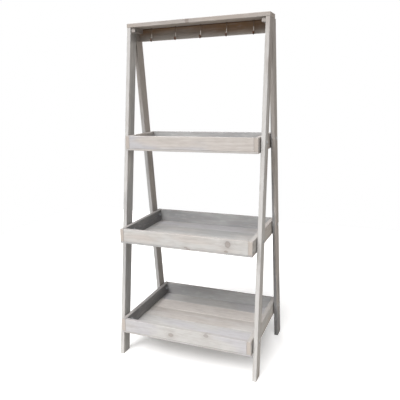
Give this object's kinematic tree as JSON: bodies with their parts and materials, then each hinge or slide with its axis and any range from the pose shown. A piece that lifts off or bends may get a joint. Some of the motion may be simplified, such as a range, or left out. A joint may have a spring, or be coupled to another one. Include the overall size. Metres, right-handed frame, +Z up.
{
  "type": "plant ladder stand",
  "caption": "Free-standing timber plant ladder with A-shaped side frames, rimmed slatted trays that deepen towards the floor, a narrow top board, a back rail and cup hooks.",
  "frame": {"origin": "on the floor, under the middle of the stand", "axes": "+X to the right, +Y to the back, +Z up; the rail with the hooks is at the back"},
  "size_m": [0.6568, 0.4954, 1.508],
  "materials": {
    "frame_wood": "pale grey wash over softwood, matt, with grain and small knots",
    "tray_wood": "pale grey wash over softwood, matt, with beige end grain",
    "slat_wood": "thin grey wash over softwood, matt",
    "hook_metal": "dull bronzed brass",
    "zinc_steel": "zinc plated, slightly dull",
    "spacer_black": "black plastic"
  },
  "bodies": {
    "root": {"leg_front_left": "frame_wood", "leg_front_right": "frame_wood", "leg_rear_left": "frame_wood", "leg_rear_right": "frame_wood", "top_board": "frame_wood", "cleat_left": "frame_wood", "cleat_right": "frame_wood", "hook_rail": "frame_wood", "hook_1": "hook_metal", "hook_2": "hook_metal", "hook_3": "hook_metal", "hook_4": "hook_metal", "hook_5": "hook_metal", "top_tray_front": "tray_wood", "top_tray_back": "tray_wood", "top_tray_left": "tray_wood", "top_tray_right": "tray_wood", "top_slat_1": "slat_wood", "top_slat_2": "slat_wood", "top_slat_3": "slat_wood", "middle_tray_front": "tray_wood", "middle_tray_back": "tray_wood", "middle_tray_left": "tray_wood", "middle_tray_right": "tray_wood", "middle_slat_1": "slat_wood", "middle_slat_2": "slat_wood", "middle_slat_3": "slat_wood", "middle_slat_4": "slat_wood", "bottom_tray_front": "tray_wood", "bottom_tray_back": "tray_wood", "bottom_tray_left": "tray_wood", "bottom_tray_right": "tray_wood", "bottom_slat_1": "slat_wood", "bottom_slat_2": "slat_wood", "bottom_slat_3": "slat_wood", "bottom_slat_4": "slat_wood", "bottom_slat_5": "slat_wood", "top_tray_bolts": "zinc_steel", "middle_tray_bolts": "zinc_steel", "bottom_tray_bolts": "zinc_steel", "top_tray_spacers": "spacer_black", "middle_tray_spacers": "spacer_black", "bottom_tray_spacers": "spacer_black", "top_tray_washers": "zinc_steel", "middle_tray_washers": "zinc_steel", "bottom_tray_washers": "zinc_steel", "top_tray_nuts": "zinc_steel", "middle_tray_nuts": "zinc_steel", "bottom_tray_nuts": "zinc_steel", "top_rim_screws": "zinc_steel", "middle_rim_screws": "zinc_steel", "bottom_rim_screws": "zinc_steel", "top_slat_screws": "zinc_steel", "middle_slat_screws": "zinc_steel", "bottom_slat_screws": "zinc_steel", "top_board_screws": "zinc_steel", "cleat_screws": "zinc_steel", "rail_screws": "zinc_steel"}
  },
  "joints": []
}
